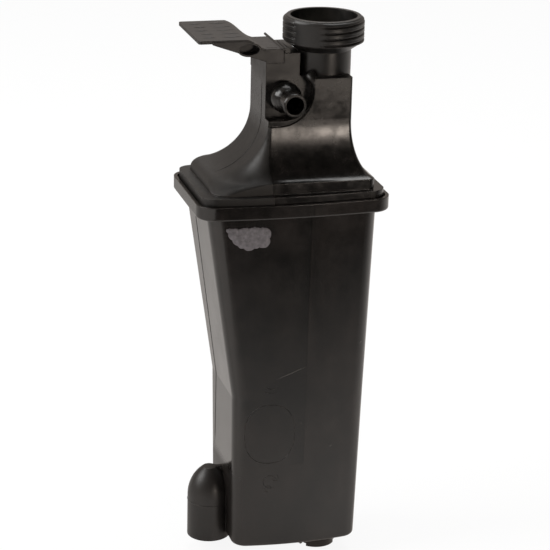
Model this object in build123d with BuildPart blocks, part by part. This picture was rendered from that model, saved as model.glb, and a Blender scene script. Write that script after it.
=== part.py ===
from build123d import *
import os
from math import acos, cos, pi, radians, sin, sqrt

os.makedirs("parts", exist_ok=True)

# Coolant expansion tank.
# Datum: the filler neck's axis at its rim. X runs to the right along the front,
# Y to the back, Z up. Everything hangs below the rim, so heights are negative.

# Mouldings in general
wall = 2.6
slip = 0.35
snug = 0.15

# Filler neck
neck_bore_r = 21.4
neck_bore_depth = 15.0
neck_collar_r = 24.4
neck_collar_h = 16.5
neck_taper_h = 4.5
neck_tube_r = 18.0
neck_edge = 0.7
throat_r = 15.4
seat_h = 3.0
neck_h = 35.7

# Saddle: the upright block under the neck and the sweeps that widen it to the deck
block_x0 = -40.7
block_x1 = 13.5
block_y0 = -23.3
block_y1 = 25.5
block_edge = 1.6
shoulder_h = 26.3
sweep_h = 37.0
sweep_left = 32.5
left_round = 5.8
left_round_start = radians(10)
hollow_share = 0.985
sweep_right = 13.0
sweep_front = 13.7
sweep_back = 12.5
front_corner_share = 0.9
back_corner_share = 0.25
front_corner_r = 11.0
deck_corner_r = 4.0
deck_step_h = 7.0

# Weld flange of the upper shell, and the band of the lower shell around it
ledge_x0 = -85.6
ledge_x1 = 33.6
ledge_y = 42.6
ledge_t = 7.0
ledge_corner_r = 9.0
flange_bow = 4.0
rim_gap = 1.3
rim_t = 2.2
rim_drop = 4.6
band_h = 8.9
band_edge = 1.4

# Lower body
body_h = 231.5
kink_h = 125.5
body_top_x0 = -81.5
body_kink_x0 = -62.6
body_base_x0 = -61.0
body_top_x1 = 29.5
body_kink_x1 = 26.0
body_base_x1 = 23.8
body_top_y = 40.5
body_kink_y = 38.5
body_base_y = 36.5
body_corner_r = 10.0
base_edge = 2.5
partition_x = -16.0
partition_t = 2.2
partition_gap = 60.0
flow_hole_r = 5.0

# Pocket for the hose nipple
pocket_y = -12.7
pocket_x = -33.5
pocket_z = -44.0
pocket_r = 22.0
lip_h = 3.6
lip_y = -21.6

# Tower left of the neck, which carries the label tab
tower_x1 = -18.5
tower_top_z = -21.0
tower_step_x = -29.0
tower_step_z = -27.0
bar_x = -26.6
bar_r = 1.9
bar_y0 = -12.2
bar_y1 = 9.6
tie_w = 8.0
rail_x = -35.3
rail_w = 7.0
rail_stem_w = 4.0
rail_head_t = 2.0
rail_stem_h = 2.2
rail_y1 = 19.0

# Hose nipple
nipple_x = -28.3
nipple_z = -48.5
nipple_reach = 25.8
nipple_r = 6.9
nipple_bore_r = 5.7
nipple_bead_r = 7.5
nipple_bead_w = 1.6
nipple_bead_slope = 0.8
nipple_ball_r = 10.0
nipple_ball_out = 4.3
nipple_spigot_r = 6.6
nipple_spigot_over = 1.0

# Label tab
tab_block_x0 = -41.3
tab_block_x1 = -29.6
tab_block_y0 = -14.5
tab_block_y1 = 21.0
tab_block_top = -17.5
tab_lip_x = -30.6
tab_lip_r = 0.8
tab_lip_front = 2.4
tab_lip_back = 7.7
tab_slit_w = 0.9
tab_slit_l = 7.0
tab_slit_y = -11.2
tab_slit_depth = 4.0
paddle_x0 = -84.3
paddle_x1 = -54.0
paddle_y0 = -14.0
paddle_y1 = 44.0
paddle_top = -11.1
paddle_t = 2.1
paddle_corner_r = 2.0
web_t = 2.0
web_x0 = -75.5
web_z0 = -13.8
scoop_x = -52.0
scoop_z = -17.6
scoop_w = 13.0
scoop_h = 6.6
scoop_depth = 7.0
scoop_wall = 1.2
rib_y = 6.0

# Outlet socket at the lower left
outlet_x = -70.5
outlet_y = 0.0
outlet_r = 14.4
outlet_bore_r = 10.5
outlet_h = 29.0
outlet_drop = 3.0
outlet_bore_depth = 26.0
outlet_bell_h = 20.0
outlet_tip_r = 4.5
outlet_web_t = 3.0
duct_w = 9.0
duct_h = 12.0

# Level indicator in the neck
cage_r = 13.0
cage_wall = 1.4
cage_flange_r = 17.4
cage_flange_t = 1.8
cage_l = 156.0
cage_slot_w = 7.0
cage_slot_count = 4
cage_band_h = 12.0
cage_hub_r = 5.0
cage_hub_h = 5.0
cage_hub_drop = 7.0
cage_slot_rows = 2
catch_w = 4.0
catch_h = 2.4
catch_rise = 2.2
catch_count = 2
end_cap_ring_r = 6.6
end_cap_hole_count = 5
float_gap = 0.6
float_edge = 2.0
flute_r = 1.5
flute_count = 6
cage_spoke_w = 2.2
end_cap_t = 2.0
end_cap_hole_r = 3.0
end_cap_skirt_h = 6.0
float_h = 30.0
stem_r = 2.2
stem_tip_drop = 24.0
stem_collar_r = 3.9
stem_collar_h = 2.0
stem_foot_r = 5.0
stem_foot_h = 1.5
stem_sink = 6.0
indicator_travel = 20.0

# Level sensor and its ring float
sensor_x = 3.5
sensor_y = -5.0
port_r = 13.0
port_bore_r = 11.0
port_drop = 13.5
well_r = 6.5
well_bore_r = 4.9
well_h = 62.0
ring_float_r = 14.0
ring_float_bore_r = 7.4
ring_float_h = 16.0
ring_float_edge = 1.2
ring_float_rise = 6.0
magnet_r = 11.6
magnet_bore_r = 8.6
magnet_h = 4.0
magnet_sink = 0.5
retainer_r = 9.4
retainer_t = 1.2
retainer_seat = 5.0
retainer_slit_w = 1.6
retainer_slit_l = 1.8
retainer_slit_count = 6
well_seat_r = 9.5
well_tip_t = 1.6
sensor_stem_r = 4.6
sensor_stem_gap = 2.0
sensor_head_r = 10.6
sensor_head_h = 11.5
sensor_head_gap = 1.5
sensor_head_edge = 0.8
socket_w = 11.0
socket_d = 7.0
socket_depth = 9.5
seal_drop = 3.0
seal_r = 1.1
lug_count = 3
lug_reach = 1.6
lug_w = 4.0
lug_h = 2.4
lug_turn = 24.0
lug_drop = 7.5
blade_w = 2.0
blade_t = 0.6
blade_pitch = 5.0
blade_l = 6.5
reed_r = 1.3
reed_l = 14.0
reed_lead_r = 0.35
reed_lead_l = 3.0
carrier_w = 5.0
carrier_t = 1.0
carrier_l = 46.0
carrier_foot_t = 1.5
sensor_tube_wall = 1.1

# Heights that follow from the sizes above
block_top_z = -neck_h
sweep_top_z = block_top_z - shoulder_h
deck_z = sweep_top_z - sweep_h
deck_foot_z = deck_z - left_round
ledge_z = deck_z - deck_step_h
weld_z = ledge_z - ledge_t
rim_z = ledge_z - rim_drop
band_bottom_z = rim_z - band_h
kink_z = band_bottom_z - kink_h
base_z = band_bottom_z - body_h
seat_z = -neck_bore_depth - seat_h
band_x0 = ledge_x0 - rim_gap - rim_t
band_x1 = ledge_x1 + rim_gap + rim_t
band_y = ledge_y + rim_gap + rim_t
bulge_end_z = deck_z + sweep_h * 0.2
bar_z = tab_block_top - bar_r
outlet_bottom_z = base_z - outlet_drop
outlet_top_z = outlet_bottom_z + outlet_h
duct_z = outlet_bottom_z + outlet_bore_depth - duct_h
cage_bottom_z = seat_z - cage_l
hub_top_z = seat_z - cage_hub_drop
hub_bottom_z = hub_top_z - cage_hub_h
float_bottom_z = cage_bottom_z + end_cap_skirt_h + slip
float_top_z = float_bottom_z + float_h
stem_collar_z = hub_bottom_z - slip - indicator_travel - stem_collar_h
floor_z = base_z + wall
well_top_z = base_z + well_h
ring_bottom_z = floor_z + ring_float_rise + slip
retainer_z = well_top_z - retainer_seat - retainer_t
head_top_z = base_z - sensor_head_gap
head_bottom_z = head_top_z - sensor_head_h
sensor_tip_z = well_top_z - well_tip_t - sensor_stem_gap
lug_z = base_z - lug_drop
socket_top_z = head_bottom_z + socket_depth
foot_bottom_z = socket_top_z - carrier_foot_t
ring_top_z = ring_bottom_z + ring_float_h
magnet_z = ring_top_z - magnet_sink - magnet_h
rail_y0 = pocket_y + 1
rail_z = tower_step_z + rail_stem_h


def bowed_outline(z, x0, x1, y, bow, corner_r):
    """Flange or body outline: straight ends, front and back edges bowed outwards."""
    middle = (x0 + x1) / 2
    with BuildSketch(Plane.XY.offset(z)) as outline:
        with BuildLine():
            Line((x0, bow - y), (x0, y - bow))
            ThreePointArc((x0, y - bow), (middle, y), (x1, y - bow))
            Line((x1, y - bow), (x1, bow - y))
            ThreePointArc((x1, bow - y), (middle, -y), (x0, bow - y))
        make_face()
        fillet(outline.vertices(), corner_r)
    return outline.sketch


def hollow(turn):
    """Reach of a quarter circle's hollow side at a share of its height."""
    return 1 - sqrt(1 - turn * turn)


def saddle_outline(depth, inset):
    """Section of the saddle at a depth below the start of its sweeps.

    Down to the deck all four sides flare. Below it only the left edge goes on, rounded over,
    and the wide front left corner closes up with it.
    """
    turn = min(depth / sweep_h, 1.0)
    spread = hollow(hollow_share * turn) / hollow(hollow_share)
    over = max(depth - sweep_h, 0) / left_round
    angle = acos(cos(left_round_start) * (1 - over))
    rounding = (sin(angle) - sin(left_round_start)) / (1 - sin(left_round_start))
    x0 = block_x0 - sweep_left * spread - left_round * rounding + inset
    x1 = block_x1 + sweep_right * spread - inset
    y0 = block_y0 - sweep_front * spread + inset
    y1 = block_y1 + sweep_back * spread - inset
    trumpet_r = block_edge + front_corner_share * sweep_left * spread
    front_r = trumpet_r + (front_corner_r - trumpet_r) * over
    back_r = block_edge + back_corner_share * sweep_left * spread
    right_r = block_edge + (deck_corner_r - block_edge) * turn
    with BuildSketch(Plane.XY.offset(sweep_top_z - depth - inset)) as outline:
        with Locations(((x0 + x1) / 2, (y0 + y1) / 2)):
            Rectangle(x1 - x0, y1 - y0)
        left_corners = outline.vertices().group_by(Axis.X)[0].sort_by(Axis.Y)
        fillet(left_corners[0], max(front_r - inset, 0.6))
        left_corners = outline.vertices().group_by(Axis.X)[0].sort_by(Axis.Y)
        fillet(left_corners[-1], max(back_r - inset, 0.6))
        fillet(outline.vertices().group_by(Axis.X)[-1], max(right_r - inset, 0.6))
    return outline.sketch


def sweep_depths():
    """Depths of the saddle's sections, closer together where the sweep flattens."""
    steps = 6
    return [sweep_h * sin(radians(90 * i / steps)) for i in range(steps + 1)]


def edge_depths():
    """Depths of the sections below the deck, where the left edge is rounded over."""
    steps = 3
    angles = [left_round_start + (pi / 2 - left_round_start) * i / steps for i in range(steps + 1)]
    return [sweep_h + left_round * (1 - cos(angle) / cos(left_round_start)) for angle in angles]


def add_box(x0, x1, y0, y1, z0, z1, mode=Mode.ADD):
    """Box between two corners, for ribs, webs and cuts."""
    size = (x1 - x0, y1 - y0, z1 - z0)
    with Locations(((x0 + x1) / 2, (y0 + y1) / 2, (z0 + z1) / 2)):
        Box(*size, mode=mode)


def pocket_profile(plane, radius, right_shift):
    """Pocket outline seen from the front: quarter arc, open to the left and upwards."""
    left = block_x0 - 10
    top = block_top_z + 4
    floor = pocket_z - radius
    right = pocket_x + radius + right_shift
    with BuildSketch(plane) as outline:
        with BuildLine():
            RadiusArc((pocket_x + right_shift, floor), (right, floor + radius), -radius)
            Line((right, floor + radius), (right, top))
            Line((right, top), (left, top))
            Line((left, top), (left, floor))
            Line((left, floor), (pocket_x + right_shift, floor))
        make_face()
    return outline.sketch


front_view = Plane(origin=(0, 0, 0), x_dir=(1, 0, 0), z_dir=(0, -1, 0))


# Inside of the upper shell: saddle, tower, throat and flange
with BuildPart() as upper_space:
    loft([saddle_outline(depth, wall) for depth in sweep_depths()])
    loft([saddle_outline(depth, wall) for depth in edge_depths()])
    extrude(saddle_outline(sweep_h + left_round, wall), amount=weld_z - 1 - deck_foot_z + wall)
    add_box(
        block_x0 + wall, block_x1 - wall, block_y0 + wall, block_y1 - wall,
        sweep_top_z - wall, block_top_z - wall,
    )
    extrude(
        pocket_profile(front_view.offset(-pocket_y - wall), pocket_r + wall, 0),
        amount=block_y1 - block_y0, mode=Mode.SUBTRACT,
    )
    add_box(
        block_x0 + wall, tower_step_x - wall + 0.5, pocket_y + wall, block_y1 - wall,
        block_top_z - wall - 1, tower_step_z - wall,
    )
    add_box(
        tower_step_x - wall, tower_x1 - wall, pocket_y + wall, block_y1 - wall,
        block_top_z - wall - 1, tower_top_z - wall,
    )
    with BuildSketch(Plane.XY.offset(seat_z)):
        Circle(throat_r)
    extrude(amount=bulge_end_z - seat_z)

# Upper shell: neck, saddle with its sweeps, tower and rail, pocket and weld flange
with BuildPart() as upper_shell:
    loft([saddle_outline(depth, 0) for depth in sweep_depths()])
    loft([saddle_outline(depth, 0) for depth in edge_depths()])
    extrude(saddle_outline(sweep_h + left_round, 0), amount=ledge_z - 1 - deck_foot_z)
    extrude(
        bowed_outline(weld_z, ledge_x0, ledge_x1, ledge_y, flange_bow, ledge_corner_r),
        amount=ledge_t,
    )
    with BuildSketch(Plane.XY.offset(sweep_top_z)):
        with Locations(((block_x0 + block_x1) / 2, (block_y0 + block_y1) / 2)):
            RectangleRounded(block_x1 - block_x0, block_y1 - block_y0, block_edge)
    extrude(amount=shoulder_h)
    with BuildSketch(Plane.XY.offset(block_top_z)):
        Circle(neck_tube_r)
    extrude(amount=bulge_end_z - block_top_z)
    extrude(
        pocket_profile(front_view.offset(-pocket_y), pocket_r - lip_h, lip_h),
        amount=pocket_y - block_y0 + 1, mode=Mode.SUBTRACT,
    )
    extrude(
        pocket_profile(front_view.offset(-lip_y), pocket_r, 0),
        amount=lip_y - block_y0 + 1, mode=Mode.SUBTRACT,
    )
    add_box(block_x0, tower_step_x, pocket_y, block_y1, block_top_z - 1, tower_step_z)
    add_box(tower_step_x, tower_x1, pocket_y, block_y1, block_top_z - 1, tower_top_z)
    add_box(tower_x1 - 1, -throat_r - 1, -tie_w / 2, tie_w / 2, block_top_z - 1, tower_top_z)
    add_box(bar_x - bar_r, bar_x + bar_r, bar_y0, bar_y1, tower_top_z - 1, bar_z)
    with BuildSketch(Plane.XZ.offset(-bar_y1)):
        with Locations((bar_x, bar_z)):
            Circle(bar_r)
    extrude(amount=bar_y1 - bar_y0)
    add_box(
        rail_x - rail_stem_w / 2, rail_x + rail_stem_w / 2, rail_y0, rail_y1,
        tower_step_z - 1, rail_z,
    )
    add_box(
        rail_x - rail_w / 2, rail_x + rail_w / 2, rail_y0, rail_y1,
        rail_z, rail_z + rail_head_t,
    )
    with BuildSketch(Plane.XZ):
        with BuildLine():
            Polyline(
                (0, 0),
                (neck_collar_r - neck_edge, 0),
                (neck_collar_r, -neck_edge),
                (neck_collar_r, -neck_collar_h),
                (neck_tube_r, -neck_collar_h - neck_taper_h),
                (neck_tube_r, block_top_z - 1),
                (0, block_top_z - 1),
                close=True,
            )
        make_face()
    revolve(axis=Axis.Z)
    add(upper_space.part, mode=Mode.SUBTRACT)
    with BuildSketch(Plane.XZ):
        with BuildLine():
            Polyline(
                (0, 1),
                (neck_bore_r, 1),
                (neck_bore_r, -neck_bore_depth),
                (cage_flange_r + slip, -neck_bore_depth),
                (cage_flange_r + slip, seat_z),
                (throat_r, seat_z),
                (throat_r, seat_z - 2),
                (0, seat_z - 2),
                close=True,
            )
        make_face()
    revolve(axis=Axis.Z, mode=Mode.SUBTRACT)
    with BuildSketch(front_view.offset(-pocket_y - wall - 1)):
        with Locations((nipple_x, nipple_z)):
            Circle(nipple_spigot_r + snug)
    extrude(amount=wall + 2, mode=Mode.SUBTRACT)
upper_shell.part.label = "upper_shell"
export_step(upper_shell.part, "parts/upper_shell.step")


def body_outlines(inset):
    """Sections of the lower body at the band, at the kink of the left wall and at the base."""
    corner = body_corner_r - inset
    top = bowed_outline(
        band_bottom_z, body_top_x0 + inset, body_top_x1 - inset, body_top_y - inset,
        flange_bow, corner,
    )
    kink = bowed_outline(
        kink_z, body_kink_x0 + inset, body_kink_x1 - inset, body_kink_y - inset,
        flange_bow, corner,
    )
    base = bowed_outline(
        base_z + inset, body_base_x0 + inset, body_base_x1 - inset, body_base_y - inset,
        flange_bow, corner,
    )
    return top, kink, base


def disc(x, y, z, radius):
    """Round section of a boss, port or bore at a height."""
    with BuildSketch(Plane.XY.offset(z)) as outline:
        with Locations((x, y)):
            Circle(radius)
    return outline.sketch


# Space inside the lower shell, less the partition with its flow holes
with BuildPart() as lower_space:
    inner_top, inner_kink, inner_base = body_outlines(wall)
    loft([inner_top, inner_kink])
    loft([inner_kink, inner_base])
    extrude(inner_top, amount=weld_z + 1 - band_bottom_z)
    add_box(
        partition_x - partition_t / 2, partition_x + partition_t / 2, -band_y, band_y,
        base_z + partition_gap, weld_z + 2, mode=Mode.SUBTRACT,
    )
    with BuildSketch(Plane.YZ.offset(partition_x - partition_t)):
        with Locations((0, (kink_z + band_bottom_z) / 2)):
            with GridLocations(4 * flow_hole_r, 6 * flow_hole_r, 2, 4):
                Circle(flow_hole_r)
    extrude(amount=2 * partition_t)

# Lower shell: band, body, outlet socket, sensor port with its bayonet, and the well
with BuildPart() as lower_shell:
    extrude(
        bowed_outline(
            band_bottom_z, band_x0, band_x1, band_y, flange_bow, ledge_corner_r + rim_gap + rim_t,
        ),
        amount=band_h,
    )
    fillet(lower_shell.faces().sort_by(Axis.Z)[0].edges(), band_edge)
    extrude(
        bowed_outline(
            weld_z, ledge_x0 - rim_gap, ledge_x1 + rim_gap, ledge_y + rim_gap, flange_bow,
            ledge_corner_r + rim_gap,
        ),
        amount=band_h, mode=Mode.SUBTRACT,
    )
    outer_top, outer_kink, outer_base = body_outlines(0)
    loft([outer_top, outer_kink])
    loft([outer_kink, outer_base])
    fillet(lower_shell.faces().sort_by(Axis.Z)[0].edges(), base_edge)
    extrude(disc(outlet_x, outlet_y, outlet_bottom_z, outlet_r), amount=outlet_h)
    with BuildSketch(Plane.XZ.offset(-outlet_y)):
        with BuildLine():
            Polyline(
                (outlet_x + outlet_tip_r, outlet_top_z + outlet_bell_h),
                (outlet_x, outlet_top_z + outlet_bell_h),
                (outlet_x, outlet_top_z),
                (outlet_x + outlet_r, outlet_top_z),
            )
            TangentArc(
                (outlet_x + outlet_r, outlet_top_z),
                (outlet_x + outlet_tip_r, outlet_top_z + outlet_bell_h),
                tangent=(0, 1),
            )
        make_face()
    revolve(axis=Axis((outlet_x, outlet_y, 0), (0, 0, 1)))
    add_box(
        outlet_x, body_base_x0 + wall, outlet_y - outlet_web_t / 2, outlet_y + outlet_web_t / 2,
        outlet_bottom_z + outlet_drop + base_edge, outlet_top_z + outlet_bell_h,
    )
    add(lower_space.part, mode=Mode.SUBTRACT)
    extrude(
        disc(outlet_x, outlet_y, outlet_bottom_z, outlet_bore_r),
        amount=outlet_bore_depth, mode=Mode.SUBTRACT,
    )
    add_box(
        outlet_x, body_base_x0 + 2 * wall, outlet_y - duct_w / 2, outlet_y + duct_w / 2,
        duct_z, duct_z + duct_h, mode=Mode.SUBTRACT,
    )
    extrude(disc(sensor_x, sensor_y, base_z - port_drop, port_r), amount=port_drop + wall / 2)
    extrude(disc(sensor_x, sensor_y, base_z + wall / 2, well_seat_r), amount=wall / 2 + ring_float_rise)
    extrude(disc(sensor_x, sensor_y, base_z + wall / 2, well_r), amount=well_h - wall / 2)
    extrude(
        disc(sensor_x, sensor_y, base_z - port_drop, port_bore_r),
        amount=port_drop, mode=Mode.SUBTRACT,
    )
    extrude(
        disc(sensor_x, sensor_y, base_z - 1, well_bore_r),
        amount=well_h + 1 - well_tip_t, mode=Mode.SUBTRACT,
    )
    with Locations((sensor_x, sensor_y, base_z - (port_drop + lug_drop) / 2)):
        with PolarLocations(port_r, lug_count, start_angle=-lug_turn):
            Box(
                2 * (port_r - port_bore_r) + 1, lug_w + 2 * slip, port_drop - lug_drop + lug_h,
                mode=Mode.SUBTRACT,
            )
    with Locations((sensor_x, sensor_y, lug_z)):
        for share in (0, 0.5):
            with PolarLocations(port_r, lug_count, start_angle=-lug_turn * share):
                Box(
                    2 * (port_r - port_bore_r) + 1, lug_w + 2 * slip, lug_h + 2 * slip,
                    mode=Mode.SUBTRACT,
                )
lower_shell.part.label = "lower_shell"
export_step(lower_shell.part, "parts/lower_shell.step")

# Hose nipple: ball foot, tube with a bead, and the spigot that is welded into the pocket
with BuildPart() as hose_nipple:
    ball_y = pocket_y - nipple_ball_out
    mouth_y = pocket_y - nipple_reach
    tube_y = ball_y - sqrt(nipple_ball_r**2 - nipple_r**2)
    foot_r = sqrt(nipple_ball_r**2 - nipple_ball_out**2)
    spigot_y = pocket_y + wall + nipple_spigot_over
    with BuildSketch(Plane.XY.offset(nipple_z)):
        with BuildLine():
            Polyline(
                (nipple_x + foot_r, pocket_y),
                (nipple_x + nipple_spigot_r, pocket_y),
                (nipple_x + nipple_spigot_r, spigot_y),
                (nipple_x + nipple_bore_r, spigot_y),
                (nipple_x + nipple_bore_r, mouth_y),
                (nipple_x + nipple_r, mouth_y),
                (nipple_x + nipple_bead_r, mouth_y + nipple_bead_slope),
                (nipple_x + nipple_bead_r, mouth_y + nipple_bead_slope + nipple_bead_w),
                (nipple_x + nipple_r, mouth_y + 2 * nipple_bead_slope + nipple_bead_w),
                (nipple_x + nipple_r, tube_y),
            )
            ThreePointArc(
                (nipple_x + nipple_r, tube_y),
                (nipple_x + nipple_ball_r, ball_y),
                (nipple_x + foot_r, pocket_y),
            )
        make_face()
    revolve(axis=Axis((nipple_x, 0, nipple_z), (0, 1, 0)))
hose_nipple.part.label = "hose_nipple"
export_step(hose_nipple.part, "parts/hose_nipple.step")


def neck_line(share):
    """Top height and back edge of the tab's neck, from the paddle (0) to the clip block (1)."""
    turn = (1 - cos(pi * share)) / 2
    z = paddle_top + (tab_block_top - paddle_top) * turn
    y = paddle_y1 + (tab_block_y1 - paddle_y1) * turn
    return z, y


def neck_x(share):
    """Distance along the tab's neck."""
    return paddle_x1 + (tab_block_x0 - paddle_x1) * share


def neck_section(share):
    """Flat section across the neck, as thick as the paddle."""
    z, y = neck_line(share)
    with BuildSketch(Plane.YZ.offset(neck_x(share))) as outline:
        with Locations(((paddle_y0 + y) / 2, z - paddle_t / 2)):
            Rectangle(y - paddle_y0, paddle_t)
    return outline.sketch


def tab_web(back_y):
    """Upright web under the neck, as a sketch seen from the front."""
    shares = [0, 0.25, 0.5, 0.75, 1]
    crown = [(neck_x(share), neck_line(share)[0] - paddle_t / 2) for share in shares]
    with BuildSketch(front_view.offset(-back_y)) as outline:
        with BuildLine():
            Polyline(
                (tab_block_x0 + 1, crown[-1][1]),
                (tab_block_x0 + 1, tower_step_z + 1),
                (web_x0, web_z0),
                (web_x0, paddle_top - paddle_t / 2),
                *crown,
                close=True,
            )
        make_face()
    return outline.sketch


# Label tab: clip block with its rail slot, S-shaped neck, paddle, webs and scoop
with BuildPart() as label_tab:
    add_box(
        tab_block_x0, tab_block_x1, tab_block_y0, tab_block_y1,
        tower_step_z + snug, tab_block_top,
    )
    with BuildSketch(Plane.XY.offset(paddle_top - paddle_t)) as paddle:
        with Locations(((paddle_x0 + paddle_x1) / 2, (paddle_y0 + paddle_y1) / 2)):
            Rectangle(paddle_x1 - paddle_x0, paddle_y1 - paddle_y0)
        fillet(paddle.vertices().group_by(Axis.X)[0], paddle_corner_r)
    extrude(amount=paddle_t)
    loft([neck_section(share) for share in (0, 0.25, 0.5, 0.75, 1)])
    extrude(tab_web(tab_block_y0 + web_t), amount=web_t)
    extrude(tab_web(rib_y + web_t), amount=web_t)
    with BuildSketch(Plane.XZ.offset(-tab_block_y0)):
        with Locations((scoop_x, scoop_z)):
            Ellipse(scoop_w / 2 + scoop_wall, scoop_h / 2 + scoop_wall)
    extrude(amount=-scoop_depth - scoop_wall)
    with BuildSketch(Plane.XZ.offset(-tab_block_y0 + 1)):
        with Locations((scoop_x, scoop_z)):
            Ellipse(scoop_w / 2, scoop_h / 2)
    extrude(amount=-scoop_depth - 1, mode=Mode.SUBTRACT)
    with BuildSketch(Plane.XZ.offset(-tab_block_y1 - tab_lip_back)):
        with Locations((tab_lip_x, tab_block_top)):
            Circle(tab_lip_r)
    extrude(amount=tab_block_y1 + tab_lip_back + tab_lip_front - tab_block_y0)
    add_box(
        rail_x - rail_stem_w / 2 - slip, rail_x + rail_stem_w / 2 + slip,
        rail_y0 - slip, tab_block_y1 + 1, tower_step_z, rail_z, mode=Mode.SUBTRACT,
    )
    add_box(
        rail_x - rail_w / 2 - slip, rail_x + rail_w / 2 + slip,
        rail_y0 - slip, tab_block_y1 + 1, rail_z - snug, rail_z + rail_head_t + snug,
        mode=Mode.SUBTRACT,
    )
    add_box(
        tab_block_x0 + 1, tab_block_x0 + 1 + tab_slit_l,
        tab_slit_y - tab_slit_w / 2, tab_slit_y + tab_slit_w / 2,
        tab_block_top - tab_slit_depth, tab_block_top + 1, mode=Mode.SUBTRACT,
    )
label_tab.part.label = "label_tab"
export_step(label_tab.part, "parts/label_tab.step")

# Float cage: slotted tube hung in the throat, with the hub that guides the stem
with BuildPart() as float_cage:
    extrude(disc(0, 0, seat_z, cage_flange_r), amount=cage_flange_t)
    extrude(disc(0, 0, cage_bottom_z, cage_r), amount=cage_l)
    extrude(
        disc(0, 0, cage_bottom_z - 1, cage_r - cage_wall),
        amount=cage_l + cage_flange_t + 2, mode=Mode.SUBTRACT,
    )
    slot_l = (cage_l - (cage_slot_rows + 1) * cage_band_h) / cage_slot_rows
    for row in range(cage_slot_rows):
        slot_z = cage_bottom_z + cage_band_h + slot_l / 2 + row * (slot_l + cage_band_h)
        with Locations((0, 0, slot_z)):
            with PolarLocations(cage_r, cage_slot_count):
                Box(4 * cage_wall, cage_slot_w, slot_l, mode=Mode.SUBTRACT)
    with Locations((0, 0, (hub_top_z + hub_bottom_z) / 2)):
        with PolarLocations((cage_r - cage_wall / 2) / 2, cage_slot_count, start_angle=45):
            Box(cage_r - cage_wall / 2, cage_spoke_w, cage_hub_h)
    extrude(disc(0, 0, hub_bottom_z, cage_hub_r), amount=cage_hub_h)
    extrude(disc(0, 0, hub_bottom_z - 1, stem_r + slip), amount=cage_hub_h + 2, mode=Mode.SUBTRACT)
    with Locations((0, 0, cage_bottom_z + catch_rise + catch_h / 2)):
        with PolarLocations(cage_r, catch_count, start_angle=45):
            Box(4 * cage_wall, catch_w + 2 * slip, catch_h + 2 * snug, mode=Mode.SUBTRACT)
float_cage.part.label = "float_cage"
export_step(float_cage.part, "parts/float_cage.step")

# End cap of the cage: drain holes, skirt inside the tube and two catches
with BuildPart() as cage_end_cap:
    skirt_r = cage_r - cage_wall - snug
    extrude(disc(0, 0, cage_bottom_z - end_cap_t, cage_r), amount=end_cap_t)
    extrude(disc(0, 0, cage_bottom_z, skirt_r), amount=end_cap_skirt_h)
    extrude(
        disc(0, 0, cage_bottom_z, skirt_r - cage_wall), amount=end_cap_skirt_h + 1,
        mode=Mode.SUBTRACT,
    )
    with BuildSketch(Plane.XY.offset(cage_bottom_z - end_cap_t - 1)):
        with PolarLocations(end_cap_ring_r, end_cap_hole_count):
            Circle(end_cap_hole_r)
    extrude(amount=end_cap_t + 2, mode=Mode.SUBTRACT)
    with Locations((0, 0, cage_bottom_z + catch_rise + catch_h / 2)):
        with PolarLocations(skirt_r + cage_wall / 2 - snug, catch_count, start_angle=45):
            Box(cage_wall, catch_w, catch_h)
cage_end_cap.part.label = "cage_end_cap"
export_step(cage_end_cap.part, "parts/cage_end_cap.step")

# Float of the level indicator, fluted so that air and coolant pass it
with BuildPart() as indicator_float:
    indicator_r = cage_r - cage_wall - float_gap
    extrude(disc(0, 0, float_bottom_z, indicator_r), amount=float_h)
    fillet(indicator_float.edges(), float_edge)
    with BuildSketch(Plane.XY.offset(float_bottom_z - 1)):
        with PolarLocations(indicator_r, flute_count):
            Circle(flute_r)
    extrude(amount=float_h + 2, mode=Mode.SUBTRACT)
    extrude(disc(0, 0, float_top_z - stem_sink, stem_r), amount=stem_sink + 1, mode=Mode.SUBTRACT)
indicator_float.part.label = "indicator_float"
export_step(indicator_float.part, "parts/indicator_float.step")

# Stem of the level indicator, with the collar that stops it under the hub
with BuildPart() as indicator_stem:
    stem_bottom_z = float_top_z - stem_sink
    extrude(disc(0, 0, stem_bottom_z, stem_r), amount=-stem_tip_drop - stem_bottom_z)
    fillet(indicator_stem.faces().sort_by(Axis.Z)[-1].edges(), stem_r / 2)
    extrude(disc(0, 0, stem_collar_z, stem_collar_r), amount=stem_collar_h)
    extrude(disc(0, 0, float_top_z, stem_foot_r), amount=stem_foot_h)
indicator_stem.part.label = "indicator_stem"
export_step(indicator_stem.part, "parts/indicator_stem.step")

# Ring float around the sensor well, with the groove for its magnet
with BuildPart() as ring_float:
    extrude(disc(sensor_x, sensor_y, ring_bottom_z, ring_float_r), amount=ring_float_h)
    fillet(ring_float.edges(), ring_float_edge)
    extrude(
        disc(sensor_x, sensor_y, ring_bottom_z - 1, ring_float_bore_r),
        amount=ring_float_h + 2, mode=Mode.SUBTRACT,
    )
    with BuildSketch(Plane.XY.offset(magnet_z)):
        with Locations((sensor_x, sensor_y)):
            Circle(magnet_r)
            Circle(magnet_bore_r, mode=Mode.SUBTRACT)
    extrude(amount=magnet_h + magnet_sink + 1, mode=Mode.SUBTRACT)
ring_float.part.label = "ring_float"
export_step(ring_float.part, "parts/ring_float.step")

# Ring magnet in the ring float
with BuildPart() as float_magnet:
    extrude(disc(sensor_x, sensor_y, magnet_z, magnet_r), amount=magnet_h)
    extrude(disc(sensor_x, sensor_y, magnet_z, magnet_bore_r), amount=magnet_h, mode=Mode.SUBTRACT)
float_magnet.part.label = "float_magnet"
export_step(float_magnet.part, "parts/float_magnet.step")

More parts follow.
